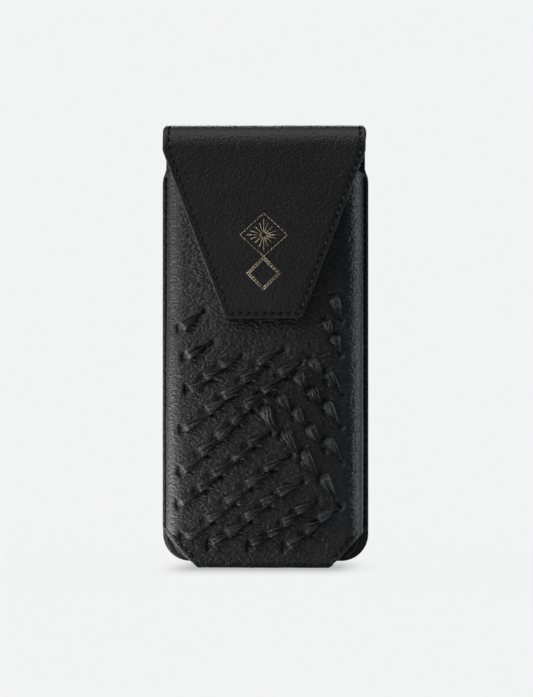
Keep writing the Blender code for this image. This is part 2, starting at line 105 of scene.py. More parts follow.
CROWN = 2.3  # how far the front puffs out at its middle
CROWN_FOOT = 30.0  # height by which it has its full puff
FLAP_REACH = (75.0, 105.0)  # heights between which the flap starts to hold it in
HELD_IN = 0.65  # share of the puff that the flap takes away
DROOP = 0.15  # slope by which it falls back beside the flap
DROOP_LOW = 0.25  # share of that slope left below the flap
DROOP_FROM = 13.0  # distance from the middle where it starts to fall back
DROOP_EASE = 5.0  # how gently it starts to
TOP_ROUND = 2.0  # the fold's ends, seen from the front
TIP_ROUND = 1.1  # the flap's lower corners
MOUTH_ROUND = 4.5  # the front's upper outer corners


# ---- small maths

def smooth(edge0, edge1, value):
    """0 before edge0, 1 after edge1, smooth between; takes arrays too."""
    t = np.clip((value - edge0) / (edge1 - edge0), 0.0, 1.0)
    return t * t * (3 - 2 * t)


def noise_at(points, size, seed):
    """Soft noise between about -1 and 1 at each point; size is the wave length in mm."""
    flat = np.asarray(points, float).reshape(-1, 3) / size
    shift = seed * 17.3
    values = [noise.noise(Vector((x + shift, y - shift, z))) for x, y, z in flat]
    return np.array(values).reshape(np.shape(points)[:-1])


# ---- materials

class Nodes:
    """Short hand for building a node material."""

    def __init__(self, name):
        self.material = bpy.data.materials.new(name)
        self.material.use_nodes = True
        self.tree = self.material.node_tree
        self.shader = self.tree.nodes["Principled BSDF"]

    def add(self, kind, inputs=None, **settings):
        node = self.tree.nodes.new("ShaderNode" + kind)
        for key, value in settings.items():
            setattr(node, key, value)
        for key, value in (inputs or {}).items():
            self.plug(value, node.inputs[key])
        return node

    def plug(self, value, socket):
        """Link an output into a socket, or set the socket's own value."""
        if isinstance(value, bpy.types.NodeSocket):
            self.tree.links.new(value, socket)
        else:
            socket.default_value = value

    def set(self, **values):
        for key, value in values.items():
            self.plug(value, self.shader.inputs[key.replace("_", " ").title()])

    def math(self, operation, a, b=0.0, c=0.0):
        return self.add("Math", {0: a, 1: b, 2: c}, operation=operation).outputs[0]

    def weigh(self, a, share, b):
        """A share of a and the rest of b."""
        return self.math("MULTIPLY_ADD", a, share, self.math("MULTIPLY", b, 1 - share))

    def ramp(self, factor, *stops):
        """Colour ramp between two stops, each a position and a colour."""
        node = self.add("ValToRGB", {"Fac": factor})
        for element, (position, color) in zip(node.color_ramp.elements, stops):
            element.position = position
            element.color = (*color, 1.0)
        return node.outputs["Color"]

    def place(self, scale=(1.0, 1.0, 1.0)):
        """Object coordinates in millimetres, stretched by scale."""
        coordinates = self.add("TexCoord").outputs["Object"]
        inputs = {"Vector": coordinates, "Scale": [s / MM for s in scale]}
        return self.add("Mapping", inputs).outputs["Vector"]

    def noise(self, vector, size, detail=2.0, roughness=0.5, distortion=0.0):
        inputs = {"Vector": vector, "Scale": 1.0 / size, "Detail": detail,
                  "Roughness": roughness, "Distortion": distortion}
        return self.add("TexNoise", inputs).outputs["Fac"]

    def attribute(self, name):
        return self.add("Attribute", attribute_name=name).outputs["Fac"]

    def bump(self, height, depth, strength=1.0, before=None):
        """Bump of a depth in millimetres, on top of an earlier bump."""
        inputs = {"Height": height, "Distance": depth * MM, "Strength": strength}
        if before is not None:
            inputs["Normal"] = before
        return self.add("Bump", inputs).outputs["Normal"]


TAUT_FROM, TAUT_TO = 27.0, 38.0  # the grain calms down between these half-widths
PORE_DEPTH = 0.012


def leather(name, dark, light, worn, roughness, grain, grain_depth, wrinkle_depth, stretch=1.0,
            taut=0.0):
    """Black leather: pebble grain, pores, soft wrinkles, uneven shine and paler worn edges.

    grain is a pebble's size.  stretch above 1 draws the grain out sideways.  taut is the share
    of it that is pulled flat where the leather goes round the sides.
    """
    n = Nodes(name)
    place = n.place((1.0 / stretch, 1.0, 1.0))
    sway = n.noise(place, 2.6, detail=1.0)
    pushed = n.add("CombineXYZ", {0: sway, 1: sway, 2: sway}).outputs[0]
    offset = n.add("VectorMath", {0: place, 1: pushed}, operation="ADD")
    pebbles = n.add("TexVoronoi", {"Vector": offset.outputs[0], "Scale": 1.0 / grain,
                                   "Smoothness": 0.6}, feature="SMOOTH_F1")
    pebble = n.math("SUBTRACT", 1.0, pebbles.outputs["Distance"])
    even = n.place()
    pores = n.noise(even, 0.35, detail=3.0, roughness=0.65)
    wrinkles = n.noise(n.place((0.55 / stretch, 0.8, 1.25)), 1.25, roughness=0.55, distortion=0.3)
    broad = n.noise(even, 16.0)
    edge = n.attribute("edge")
    across = n.math("ABSOLUTE", n.add("SeparateXYZ", {0: even}).outputs["X"])
    bent = n.add("MapRange", {"Value": across, "From Min": TAUT_FROM, "From Max": TAUT_TO,
                              "To Min": 1.0, "To Max": 1.0 - taut}).outputs["Result"]

    first = n.bump(n.math("MULTIPLY", wrinkles, bent), wrinkle_depth)
    second = n.bump(n.math("MULTIPLY", pebble, bent), grain_depth, before=first)
    third = n.bump(pores, PORE_DEPTH, strength=0.6, before=second)

    tone = n.weigh(pebble, 0.45, broad)
    color = n.ramp(tone, (0.25, dark), (0.80, light))
    wear = n.math("MULTIPLY", edge, n.math("MULTIPLY_ADD", pores, 0.7, 0.45))
    mixed = n.add("Mix", {"Factor": wear, "A": color, "B": (*worn, 1.0)}, data_type="RGBA")
    shine = n.math("MULTIPLY_ADD", broad, 0.14, roughness - 0.07)
    shine = n.math("MULTIPLY_ADD", pores, 0.08, n.math("SUBTRACT", shine, 0.04))
    n.set(base_color=mixed.outputs["Result"], roughness=shine, normal=third)
    return n.material


def lace_leather(name):
    """Thin soft leather thong: creased lengthways, satin, its colour lighter the higher it stands: painted
    highlight on its crests, painted shade low down by the leather.
    """
    n = Nodes(name)
    place = n.place()
    creases = n.noise(place, 1.1, detail=5.0, roughness=0.62, distortion=1.6)
    fine = n.noise(place, 0.28, detail=3.0, roughness=0.6)
    bump = n.bump(fine, 0.05, before=n.bump(creases, 0.45))
    # painted highlight and shade: the colour gets lighter with the lace's height over the leather, mixed
    # with its crease pattern
    tone = n.weigh(creases, 0.5, n.attribute("painted_shade_height"))
    color = n.ramp(tone, (0.25, (0.006, 0.006, 0.007)), (0.75, (0.050, 0.050, 0.052)))
    shine = n.math("MULTIPLY_ADD", fine, 0.18, 0.17)
    n.set(base_color=color, roughness=shine, normal=bump)
    return n.material


def cloth(name, color, lighter):
    """Fine twill lining."""
    n = Nodes(name)
    place = n.place()
    twill = n.add("TexWave", {"Vector": n.place((1.0, 0.4, 1.0)), "Scale": 0.9, "Distortion": 1.2,
                              "Detail": 2.0}, wave_type="BANDS", bands_direction="DIAGONAL")
    fuzz = n.noise(place, 0.3, detail=4.0)
    blotch = n.noise(place, 12.0)
    tone = n.weigh(twill.outputs["Fac"], 0.4, blotch)
    bump = n.bump(fuzz, 0.06, before=n.bump(twill.outputs["Fac"], 0.08))
    n.set(base_color=n.ramp(tone, (0.2, color), (0.9, lighter)), roughness=0.88, normal=bump,
          sheen_weight=0.25)
    return n.material


def thread_material(name):
    """Waxed twisted thread."""
    n = Nodes(name)
    plies = n.add("TexWave", {"Vector": n.place(), "Scale": 2.6, "Distortion": 0.6},
                  wave_type="BANDS", bands_direction="DIAGONAL")
    fuzz = n.noise(n.place(), 0.2)
    color = n.ramp(fuzz, (0.2, (0.0015, 0.0015, 0.002)), (0.9, (0.007, 0.007, 0.008)))
    bump = n.bump(plies.outputs["Fac"], 0.10)
    n.set(base_color=color, roughness=n.math("MULTIPLY_ADD", fuzz, 0.2, 0.60), normal=bump)
    n.shader.inputs["Specular IOR Level"].default_value = 0.3
    return n.material


def gold_foil(name):
    """Pale gold pressed into the grain, slightly rubbed."""
    n = Nodes(name)
    place = n.place()
    rub = n.noise(place, 0.5, detail=3.0, roughness=0.7)
    patch = n.noise(place, 3.0)
    tone = n.weigh(rub, 0.6, patch)
    color = n.ramp(tone, (0.32, (0.20, 0.16, 0.095)), (0.62, (0.60, 0.52, 0.36)))
    n.set(base_color=color, metallic=0.75, roughness=n.math("MULTIPLY_ADD", rub, 0.3, 0.32),
          normal=n.bump(rub, 0.04))
    return n.material


def board_material(name):
    """Grey fibre board."""
    n = Nodes(name)
    fibres = n.noise(n.place((0.3, 1.0, 1.0)), 0.6, detail=4.0)
    color = n.ramp(fibres, (0.3, (0.12, 0.11, 0.10)), (0.7, (0.22, 0.20, 0.18)))
    n.set(base_color=color, roughness=0.9, normal=n.bump(fibres, 0.05))
    return n.material


def magnet_material(name):
    """Bright nickel plating with fine scratches."""
    n = Nodes(name)
    scratches = n.noise(n.place((1.0, 1.0, 12.0)), 1.2, detail=3.0)
    color = n.ramp(scratches, (0.3, (0.50, 0.50, 0.51)), (0.8, (0.68, 0.68, 0.69)))
    n.set(base_color=color, metallic=1.0,
          roughness=n.math("MULTIPLY_ADD", scratches, 0.25, 0.18), normal=n.bump(scratches, 0.01))
    return n.material


BODY = leather("body_leather", dark=(0.007, 0.007, 0.008), light=(0.019, 0.019, 0.021),
               worn=(0.035, 0.035, 0.037), roughness=0.45, grain=1.00, grain_depth=0.38,
               wrinkle_depth=0.56, stretch=1.4, taut=0.45)
FLAP = leather("flap_leather", dark=(0.011, 0.011, 0.012), light=(0.020, 0.020, 0.022),
               worn=(0.018, 0.018, 0.020), roughness=0.47, grain=0.95, grain_depth=0.19,
               wrinkle_depth=0.13)
BACK = leather("back_leather", dark=(0.006, 0.006, 0.007), light=(0.013, 0.013, 0.014),
               worn=(0.040, 0.040, 0.042), roughness=0.52, grain=1.05, grain_depth=0.20,
               wrinkle_depth=0.10)
LACE = lace_leather("lace_leather")
LINING = cloth("lining_cloth", (0.010, 0.010, 0.010), (0.030, 0.029, 0.029))
THREAD = thread_material("sewing_thread")
FOIL = gold_foil("gold_foil")
BOARD = board_material("fibre_board")
MAGNET = magnet_material("magnet_plating")


# ---- mesh makers

def mesh_piece(name, vertices, faces, material, attributes=None):
    """A mesh object from millimetre points, smooth shaded, with its material."""
    mesh = bpy.data.meshes.new(name)
    mesh.from_pydata([tuple(float(c) * MM for c in v) for v in vertices], [], faces)
    for key, values in (attributes or {}).items():
        layer = mesh.attributes.new(key, "FLOAT", "POINT")
        layer.data.foreach_set("value", np.asarray(values, np.float32))
    mesh.shade_smooth()
    mesh.materials.append(material)
    obj = bpy.data.objects.new(name, mesh)
    bpy.context.collection.objects.link(obj)
    return obj


def ring_faces(base, rings, sides):
    """Faces between rings of points that follow each other from number base on."""
    faces = []
    for a in range(base, base + (rings - 1) * sides, sides):
        for k in range(sides):
            m = (k + 1) % sides
            faces.append((a + k, a + sides + k, a + sides + m, a + m))
    return faces


def tube_faces(base, rings, sides):
    """The same with both ends closed."""
    first = tuple(range(base, base + sides))
    last = tuple(k + (rings - 1) * sides for k in reversed(first))
    return ring_faces(base, rings, sides) + [first, last]


def grid_normals(points):
    """Unit normals of a grid of points, along rows x columns."""
    down = np.gradient(points, axis=0)
    across = np.gradient(points, axis=1)
    normals = np.cross(down, across)
    return normals / np.maximum(np.linalg.norm(normals, axis=2, keepdims=True), 1e-9)


def thick_sheet(name, points, thickness, material, keep=None, bulge=0.25, rim_steps=3,
                wear_reach=1.6, base=None):
    """A closed sheet from a grid of outer points.

    thickness is one number or a grid of them, measured from base, which is the grid before
    slits and dimples were pressed in.  The rim is rounded by bulge, and the point attribute
    "edge" says how worn each place is by its distance to the rim.
    """
    rows, columns = points.shape[:2]
    base = points if base is None else base
    inner = base - grid_normals(base) * np.broadcast_to(thickness, (rows, columns))[..., None]
    if keep is None:
        keep = np.ones((rows - 1, columns - 1), bool)

    used = np.zeros((rows, columns), bool)
    for a in (0, 1):
        for b in (0, 1):
            used[a:rows - 1 + a, b:columns - 1 + b] |= keep
    count = int(used.sum())
    index = np.full((rows, columns), -1)
    index[used] = np.arange(count)
    vertices = list(points[used]) + list(inner[used])
    faces = []
    border = {}
    outward = {}
    for i, j in zip(*np.nonzero(keep)):
        ring = ((i, j), (i, j + 1), (i + 1, j + 1), (i + 1, j))
        ids = [int(index[k]) for k in ring]
        faces.append(ids[::-1])
        faces.append([c + count for c in ids])
        middle = sum(points[k] for k in ring) / 4
        for start, end in zip(ring, ring[1:] + ring[:1]):
            if (end, start) in border:
                del border[end, start]
            else:
                border[start, end] = middle
    for (start, end), middle in border.items():
        along = points[end] - points[start]
        away = (points[start] + points[end]) / 2 - middle
        away = away - along * (away @ along) / max(along @ along, 1e-12)
        away = away / max(np.linalg.norm(away), 1e-9)
        for key in (start, end):
            outward[key] = outward.get(key, np.zeros(3)) + away

    rim = {}
    for key, direction in outward.items():
        direction = direction / max(np.linalg.norm(direction), 1e-9)
        chain = [int(index[key])]
        for step in range(1, rim_steps + 1):
            angle = math.pi * step / (rim_steps + 1)
            share = (1 - math.cos(angle)) / 2
            place = points[key] * (1 - share) + inner[key] * share
            chain.append(len(vertices))
            vertices.append(place + direction * bulge * math.sin(angle))
        chain.append(int(index[key]) + count)
        rim[key] = chain
    for start, end in border:
        for a, b, c, d in zip(rim[start], rim[start][1:], rim[end][1:], rim[end]):
            faces.append((d, c, b, a))

    rim_points = KDTree(len(outward))
    for number, key in enumerate(outward):
        rim_points.insert(points[key], number)
    rim_points.balance()
    near = np.array([rim_points.find(vertex)[2] for vertex in vertices[:count]])
    edge = np.zeros(len(vertices))
    edge[:count] = 1 - smooth(0.0, wear_reach, near)
    edge[2 * count:] = 1.0
    return mesh_piece(name, vertices, faces, material, {"edge": edge})


# ---- back, spine and flap profile

BACK_RUN = FOLD_Z - BACK_LOW
ARC_RUN = TOP_FOLD * (math.pi - SLOPE)
FLAP_RUN = (FLAP_LINE.z - FLAP_TIP_Z) / math.cos(SLOPE)
APEX = BACK_RUN + ARC_RUN / 2
TIP = BACK_RUN + ARC_RUN + FLAP_RUN
NECK_RUN = 8.0  # the neck widens to the flap over this much of the top
TAPER_FROM = 1.2  # below the fold, where the flap starts to taper


def profile(run):
    """(y, z, normal y, normal z) of the outer leather at a distance run from the back's foot."""
    if run <= BACK_RUN:
        return BACK_Y, BACK_LOW + run, 1.0, 0.0
    if run <= BACK_RUN + ARC_RUN:
        angle = (run - BACK_RUN) / TOP_FOLD
        return (BACK_Y - TOP_FOLD + TOP_FOLD * math.cos(angle), FOLD_Z + TOP_FOLD * math.sin(angle),
                math.cos(angle), math.sin(angle))
    down = run - BACK_RUN - ARC_RUN
    return (FLAP_LINE.y - down * math.sin(SLOPE), FLAP_LINE.z - down * math.cos(SLOPE),
            -math.cos(SLOPE), math.sin(SLOPE))


def leather_half(run):
    """Half-width of the back, spine and flap leather at a distance run."""
    if run < BACK_CORNER:
        return BACK_HALF - BACK_CORNER + math.sqrt(BACK_CORNER ** 2 - (BACK_CORNER - run) ** 2)
    z = BACK_LOW + run
    if run < BACK_RUN:
        neck = float(smooth(SHOULDER_Z - SHOULDER_DROP, SHOULDER_Z, z))
        return BACK_HALF + (HALF_NECK - BACK_HALF) * neck
    if run < BACK_RUN + ARC_RUN:
        half = HALF_NECK + (HALF_FLAP - HALF_NECK) * float(smooth(0.0, NECK_RUN, run - BACK_RUN))
        short = max(0.0, TOP_ROUND - (TOP_Z - profile(run)[1]))
        return half - TOP_ROUND + math.sqrt(TOP_ROUND ** 2 - short ** 2)
    down = run - BACK_RUN - ARC_RUN
    tapered = max(0.0, down - TAPER_FROM) / (FLAP_RUN - TAPER_FROM)
    half = HALF_FLAP + (FLAP_TIP_HALF - HALF_FLAP) * tapered
    left = FLAP_RUN - down
    if left < TIP_ROUND:
        half -= TIP_ROUND - math.sqrt(max(0.0, TIP_ROUND ** 2 - (TIP_ROUND - left) ** 2))
    return half


def profile_grid(runs, spread, offset=0.0, inset=0.0):
    """Grid of points over the profile, offset inwards and inset from the sides.

    spread gives a row's places across from its half-width.
    """
    rows = []
    for run in runs:
        y, z, ny, nz = profile(run)
        across = spread(leather_half(run) - inset)
        rows.append([(x, y - ny * offset, z - nz * offset) for x in across])
    return np.array(rows)


def evenly(columns):
    """Spread of equally wide columns."""
    return lambda half: np.linspace(-1, 1, columns + 1) * half


def runs_between(start, end, step, corner_radius=0.0):
    """Distances from start to end, closer together where a round corner begins."""
    runs = list(np.linspace(start, end, max(2, round((end - start) / step)) + 1))
    if corner_radius:
        turns = np.linspace(0, math.pi / 2, 9)
        round_the_corner = list(start + corner_radius * (1 - np.cos(turns)))
        runs = round_the_corner + [r for r in runs if r > start + corner_radius + step * 0.4]
    return runs


def soft_surface(grid, amount, size, seed):
    """Push a grid in and out a little along its normals."""
    wave = noise_at(grid, size, seed) + 0.5 * noise_at(grid, size * 0.45, seed + 3)
    return grid + grid_normals(grid) * (wave * amount)[..., None]


def seam_groove(grid, distance, line, depth, width):
    """Press a grid in along a stitch line that runs at a given distance from the rim."""
    press = np.exp(-((distance - line) / width) ** 2) * depth
    return grid - grid_normals(grid) * press[..., None]


EDGE_STEPS = (0.0, 0.4, 0.9, 1.4, 1.75, 2.0, 2.25, 2.6, 3.2, 4.0)
FLAP_SEAM = 1.95
FLAP_SEAM_ACROSS = 1.07 * FLAP_SEAM  # the same measured across, as the side rims slant
FLAP_SLANT = math.atan(0.37)
FLAP_COLUMNS = 84
FLAP_BODY_THICKNESS = 1.0
FLAP_EDGE_THICKNESS = 2.7


def along_rims(half):
    """Spread for the flap: its outer columns follow the rims, so that seams lie along them."""
    outer = [half - s for s in EDGE_STEPS]
    middle = list(np.linspace(-outer[-1], outer[-1], FLAP_COLUMNS + 1))[1:-1]
    return [-x for x in outer] + middle + outer[::-1]


def build_back_and_flap():
    back = profile_grid(runs_between(0.02, APEX, 1.6, corner_radius=BACK_CORNER), evenly(54))
    back = soft_surface(back, 0.10, 22.0, 1)
    back_piece = thick_sheet("back_leather", back, LEATHER, BACK)
    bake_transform(back_piece)
    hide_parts("back_panel", "spine_leather")

    runs = runs_between(APEX, TIP - 4.0, 0.8) + [TIP - s for s in EDGE_STEPS[-2::-1]]
    flap = profile_grid(runs, along_rims)
    to_side = flap[:, -1:, 0] - np.abs(flap[:, :, 0])
    to_tip = (TIP - np.array(runs))[:, None]
    to_rim = np.minimum(to_side * math.cos(FLAP_SLANT), to_tip)
    flap = soft_surface(flap, 0.07, 18.0, 7)
    flap = seam_groove(flap, to_rim, FLAP_SEAM, 0.16, 0.4)
    at_edge = 1 - smooth(0.5, 1.4, to_rim)
    thickness = FLAP_BODY_THICKNESS + (FLAP_EDGE_THICKNESS - FLAP_BODY_THICKNESS) * at_edge
    flap_piece = thick_sheet("flap_leather_front", flap, thickness, FLAP, rim_steps=5, wear_reach=0.8)
    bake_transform(flap_piece)
    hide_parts("flap_leather")


LINING_THICKNESS = 0.6


def lining(name, grid, amount, size, seed):
    """A sheet of cloth from a grid that is made uneven by an amount."""
    return thick_sheet(name, soft_surface(grid, amount, size, seed), LINING_THICKNESS, LINING)


def build_linings():
    """Cloth on the inside of the back, over the spine's inside and behind the flap."""
    runs = runs_between(1.0, APEX, 3.0)
    back = profile_grid(runs, evenly(24), offset=BACK_STACK - 0.7, inset=3.6)
    piece = lining("back_lining_cloth", back, 0.08, 14.0, 4)
    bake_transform(piece)
    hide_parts("back_lining", "spine_lining")

    runs = runs_between(APEX, TIP - 0.9, 2.0)
    flap = profile_grid(runs, evenly(32), offset=2.3, inset=0.9)
    piece = lining("flap_lining_cloth", flap, 0.06, 12.0, 5)
    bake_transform(piece)
    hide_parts("flap_lining")


# ---- front leather

SEAM_FRONT_Y = -LEATHER - 0.3 - LEATHER  # outer face of the flanges, from the back
CORNER_SEAM = 1.7  # its distance from the slanting cut
SIDE_PUFF = 0.12


def depth_at(z):
    """Distance from the back leather's outer face to the front's."""
    return DEPTH_AT_BASE + (DEPTH_AT_MOUTH - DEPTH_AT_BASE) * z / MOUTH_Z


def crown_at(x, z):
    """How far the soft front stands proud of a flat one."""
    upper = smooth(*FLAP_REACH, z)
    across = np.clip(1 - (x / HALF_BODY) ** 2, 0.0, 1.0)
    puff = CROWN * across * (1 - HELD_IN * upper)
    beyond = np.clip(np.abs(x) - DROOP_FROM, 0.0, None)
    beside = beyond ** 2 / (beyond + DROOP_EASE)
    fall = DROOP * beside * (DROOP_LOW + (1 - DROOP_LOW) * upper)
    return smooth(0.0, CROWN_FOOT, z) * (puff - fall)


def front_face(x, z):
    """World y of the front leather's outer surface, also round its corners."""
    beyond = np.clip(np.abs(x) - FLAT_HALF, 0.0, FRONT_CORNER - 0.01)
    roll = FRONT_CORNER - np.sqrt(FRONT_CORNER ** 2 - beyond ** 2)
    return BACK_Y - depth_at(z) + roll - crown_at(x, z)


def cut_half(z):
    """Half-width between the slanting corner cuts at height z."""
    return BASE_HALF + z / CUT_SLOPE


def front_columns():
    """Columns from left to right, as (zone, side, x on the front or else the share of the zone)."""
    inner = cut_half(BASE_FOLD)
    middle = [("front", 1, x) for x in np.linspace(-inner, inner, 115)]
    right = [("front", 1, x) for x in np.linspace(inner, FLAT_HALF, 9)[1:]]
    for zone, steps in (("arc", 14), ("side", 12), ("bend", 4), ("flange", 3)):
        right += [(zone, 1, t) for t in np.linspace(0, 1, steps + 1)[1:]]
    left = [("front", 1, -x) if zone == "front" else (zone, -1, x) for zone, _, x in right]
    return left[::-1] + middle + right, len(left), len(middle)


def column_points(zone, side, share, z):
    """(x, world y) of a column at heights z; either can be one number for all heights."""
    if zone == "front":
        return share, front_face(share, z)
    turn = share * math.pi / 2
    side_end = BACK_Y + SEAM_FRONT_Y - FLANGE_BEND
    if zone == "arc":
        x = FLAT_HALF + FRONT_CORNER * math.sin(turn)
        y = BACK_Y - depth_at(z) + FRONT_CORNER * (1 - math.cos(turn)) - crown_at(x, z)
    elif zone == "side":
        x = HALF_BODY + SIDE_PUFF * math.sin(math.pi * share) * smooth(12.0, 40.0, z)
        side_start = BACK_Y + FRONT_CORNER - depth_at(z) - crown_at(HALF_BODY, z)
        y = side_start + (side_end - side_start) * share
    elif zone == "bend":
        x = HALF_BODY + FLANGE_BEND * (1 - math.cos(turn))
        y = side_end + FLANGE_BEND * math.sin(turn)
    else:
        x = HALF_BODY + FLANGE_BEND + (BACK_HALF - HALF_BODY - FLANGE_BEND) * share
        y = BACK_Y + SEAM_FRONT_Y
    return side * x, y


def fold_run():
    """(y, z) of the leather folding under as a base and up the back as a lap."""
    start = BACK_Y - depth_at(BASE_FOLD) + BASE_FOLD
    end = LAP_Y - BASE_FOLD
    quarter = np.linspace(0, math.pi / 2, 8)
    run = [(start - BASE_FOLD * math.cos(a), BASE_FOLD * (1 - math.sin(a))) for a in quarter[1:]]
    run += [(y, 0.0) for y in np.linspace(start, end, 22)[1:-1]]
    run += [(end + BASE_FOLD * math.sin(a), BASE_FOLD * (1 - math.cos(a))) for a in quarter]
    run += [(LAP_Y, z) for z in np.linspace(BASE_FOLD, LAP_HEIGHT, 8)[1:]]
    return run


LACED_TOP = 109.0  # the finer part of the grid ends here


def mouth_height(reach):
    """Upper edge of the front at a distance from the middle; its outer corners are round."""
    beyond = max(0.0, reach - (BACK_HALF - MOUTH_ROUND))
    return MOUTH_Z - MOUTH_ROUND + math.sqrt(max(0.0, MOUTH_ROUND ** 2 - beyond ** 2))


def front_grid():
    """The whole wrapped front: grid, cells in use and distance to the slanting cut."""
    columns, first, count = front_columns()
    plain_rows, laced_rows = 34, 205
    cut_steps = np.array((0.0, 0.4, 0.8, 1.2, 1.5, 1.7, 1.9, 2.3, 2.8, 3.5))
    run = fold_run()
    top = plain_rows + laced_rows + len(cut_steps)
    rows = top + len(run)
    grid = np.zeros((rows, len(columns), 3))
    to_cut = np.full((rows, len(columns)), 99.0)
    inner = cut_half(BASE_FOLD)
    for j, (zone, side, share) in enumerate(columns):
        reach = min(abs(column_points(zone, side, share, 60.0)[0]), BACK_HALF)
        low = max(BASE_FOLD, (reach - BASE_HALF) * CUT_SLOPE)
        steep = CUT_SLOPE if reach > inner - 1e-6 else 1.0
        near = low + cut_steps / math.cos(math.atan(steep))
        z = np.concatenate([np.linspace(mouth_height(reach), LACED_TOP, plain_rows + 1)[:-1],
                            np.linspace(LACED_TOP, near[-1], laced_rows + 1)[:-1], near[::-1]])
        x, y = column_points(zone, side, share, z)
        grid[:top, j] = np.stack(np.broadcast_arrays(x, y, z), axis=1)
        cut_line = (reach - BASE_HALF) * CUT_SLOPE
        to_cut[:top, j] = (z - cut_line) * CUT_COS
        for k, (fold_y, fold_z) in enumerate(run, top):
            if first <= j < first + count:
                grid[k, j] = (share * cut_half(fold_z) / inner, fold_y, fold_z)
            else:  # no leather here, but the normals at the cut need the grid to run on
                grid[k, j] = 2 * grid[k - 1, j] - grid[k - 2, j]
    keep = np.ones((rows - 1, len(columns) - 1), bool)
    keep[top - 1:, :first] = False
    keep[top - 1:, first + count - 1:] = False
    return grid, keep, to_cut


PUCKER = 0.12  # height of the low ring round a dimple
PUCKER_SPREAD = 2.4  # its width in dimple widths


def on_front(points):
    """Which points lie on the front and its corners, not on the sides' back or the base."""
    return points[..., 1] < BACK_Y - 8.0


def dimples(grid, stitches):
    """Press the leather in where a lace enters and leaves, and pucker it round about."""
    pressed = on_front(grid)
    area = grid[pressed]
    amount = np.zeros(len(area))
    for stitch in stitches:
        for place, deep, wide in ((stitch.head, 1.0, 1.5), (stitch.tail, 0.9, 1.3)):
            away = (area[:, 0] - place.x) ** 2 + (area[:, 2] - place.z) ** 2
            amount += deep * np.exp(-away / wide ** 2)
            amount -= PUCKER * np.exp(-away / (PUCKER_SPREAD * wide) ** 2)
    push = np.zeros(grid.shape[:2])
    push[pressed] = np.clip(amount, -0.2, 1.1)
    return grid - grid_normals(grid) * push[..., None]


SLIT_DEPTH = 1.15
SLIT_HALF = 2.5


def cut_slits(grid, stitches):
    """Narrow upright cuts beside the heads of the laces, as deep as the leather allows."""
    deep = np.zeros(grid.shape[:2])
    row = np.abs(grid[:, grid.shape[1] // 2, 2] - LACED_TOP).argmin()
    for stitch in stitches:
        if not stitch.slit:
            continue
        x = stitch.head.x + stitch.slit
        column = int(np.abs(grid[row, :, 0] - x).argmin())
        heights = grid[:, column, 2]
        upright = np.clip(1 - ((heights - stitch.head.z - 0.4) / SLIT_HALF) ** 2, 0.0, 1.0) ** 0.5
        upright[~on_front(grid[:, column])] = 0.0
        for side, share in ((0, 1.0), (-1, 0.30), (1, 0.45)):
            deep[:, column + side] = np.maximum(deep[:, column + side], upright * share * SLIT_DEPTH)
    return grid - grid_normals(grid) * deep[..., None]


def build_front(stitches):
    grid, keep, to_cut = front_grid()
    base = soft_surface(grid, 0.16, 20.0, 11)
    grid = seam_groove(base, to_cut, CORNER_SEAM, 0.25, 0.45)
    grid = dimples(grid, stitches)
    grid = cut_slits(grid, stitches)
    piece = thick_sheet("front_leather", grid, LEATHER, BODY, keep=keep, bulge=0.3, wear_reach=0.9,
                        base=base)
    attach(piece, "shell")
    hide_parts("front_panel")


def build_front_lining():
    """Cloth inside the front, behind the laces, down to the base and over it."""
    inset = LEATHER + LACE_ROOM
    half = HALF_BODY - inset
    radius = FRONT_CORNER - inset
    rim, foot = MOUTH_Z - 0.6, 2.9
    heights = np.linspace(rim, foot, 60)
    back_y = BACK_Y - BACK_STACK - 0.4
    middle = [("front", 1, t) for t in np.linspace(-1, 1, 31)]
    right = [("arc", 1, t) for t in np.linspace(0, 1, 7)[1:]]
    right += [("side", 1, t) for t in np.linspace(0, 1, 9)[1:]]
    columns = [(zone, -1, t) for zone, _, t in reversed(right)] + middle + right
    grid = np.zeros((len(heights), len(columns), 3))
    for j, (zone, side, t) in enumerate(columns):
        if zone == "front":
            x, roll = t * (half - radius), 0.0
        elif zone == "arc":
            x = side * (half - radius + radius * math.sin(t * math.pi / 2))
            roll = radius * (1 - math.cos(t * math.pi / 2))
        else:
            x, roll = side * half, radius
        y = BACK_Y - depth_at(heights) + inset - crown_at(x, heights) + roll
        if zone == "side":
            y = y + (back_y - y) * t
        low = max(foot, (abs(x) - BASE_HALF + 1.0) * CUT_SLOPE)
        grid[:, j, 0] = x
        grid[:, j, 1] = y
        grid[:, j, 2] = np.linspace(rim, low, len(heights))
    piece = lining("front_lining_cloth", grid, 0.05, 10.0, 21)
    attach(piece, "shell")
    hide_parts("front_lining")

    depths = np.linspace(BACK_Y - depth_at(2.0) + inset + LINING_THICKNESS, back_y, 14)
    half = BASE_HALF - 0.4
    floor = np.array([[(x, y, 2.3) for x in np.linspace(half, -half, 25)] for y in depths])
    piece = lining("base_lining_cloth", floor, -0.05, 8.0, 23)
    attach(piece, "shell")


# ---- laces

LACE_TAIL = 1.6  # of the CAD lace, beyond its first and last slit
LACE_HALF = 1.3
RISING_COUNTS = (1, 1, 3, 5, 7, 5, 5, 5, 4, 3)
FALLING_COUNTS = (1, 2, 2, 3, 4, 4)
STITCH_TURN = math.radians(-13)  # each stitch lies flatter or steeper than its row


class Stitch:
    """One visible stretch of lace, from the slit it leaves to the slit it enters.

    slit says how far beside the head an upright cut shows, 0 for none.
    """

    def __init__(self, middle, direction, length, width, height, rising, slit):
        turn, lift = math.cos(STITCH_TURN), math.sin(STITCH_TURN)
        self.along = Vector((direction.x * turn - direction.z * lift, 0.0,
                             direction.x * lift + direction.z * turn))
        self.head = middle - self.along * (length / 2)
        self.tail = middle + self.along * (length / 2)
        self.width = width
        self.height = height
        self.rising = rising
        self.slit = slit


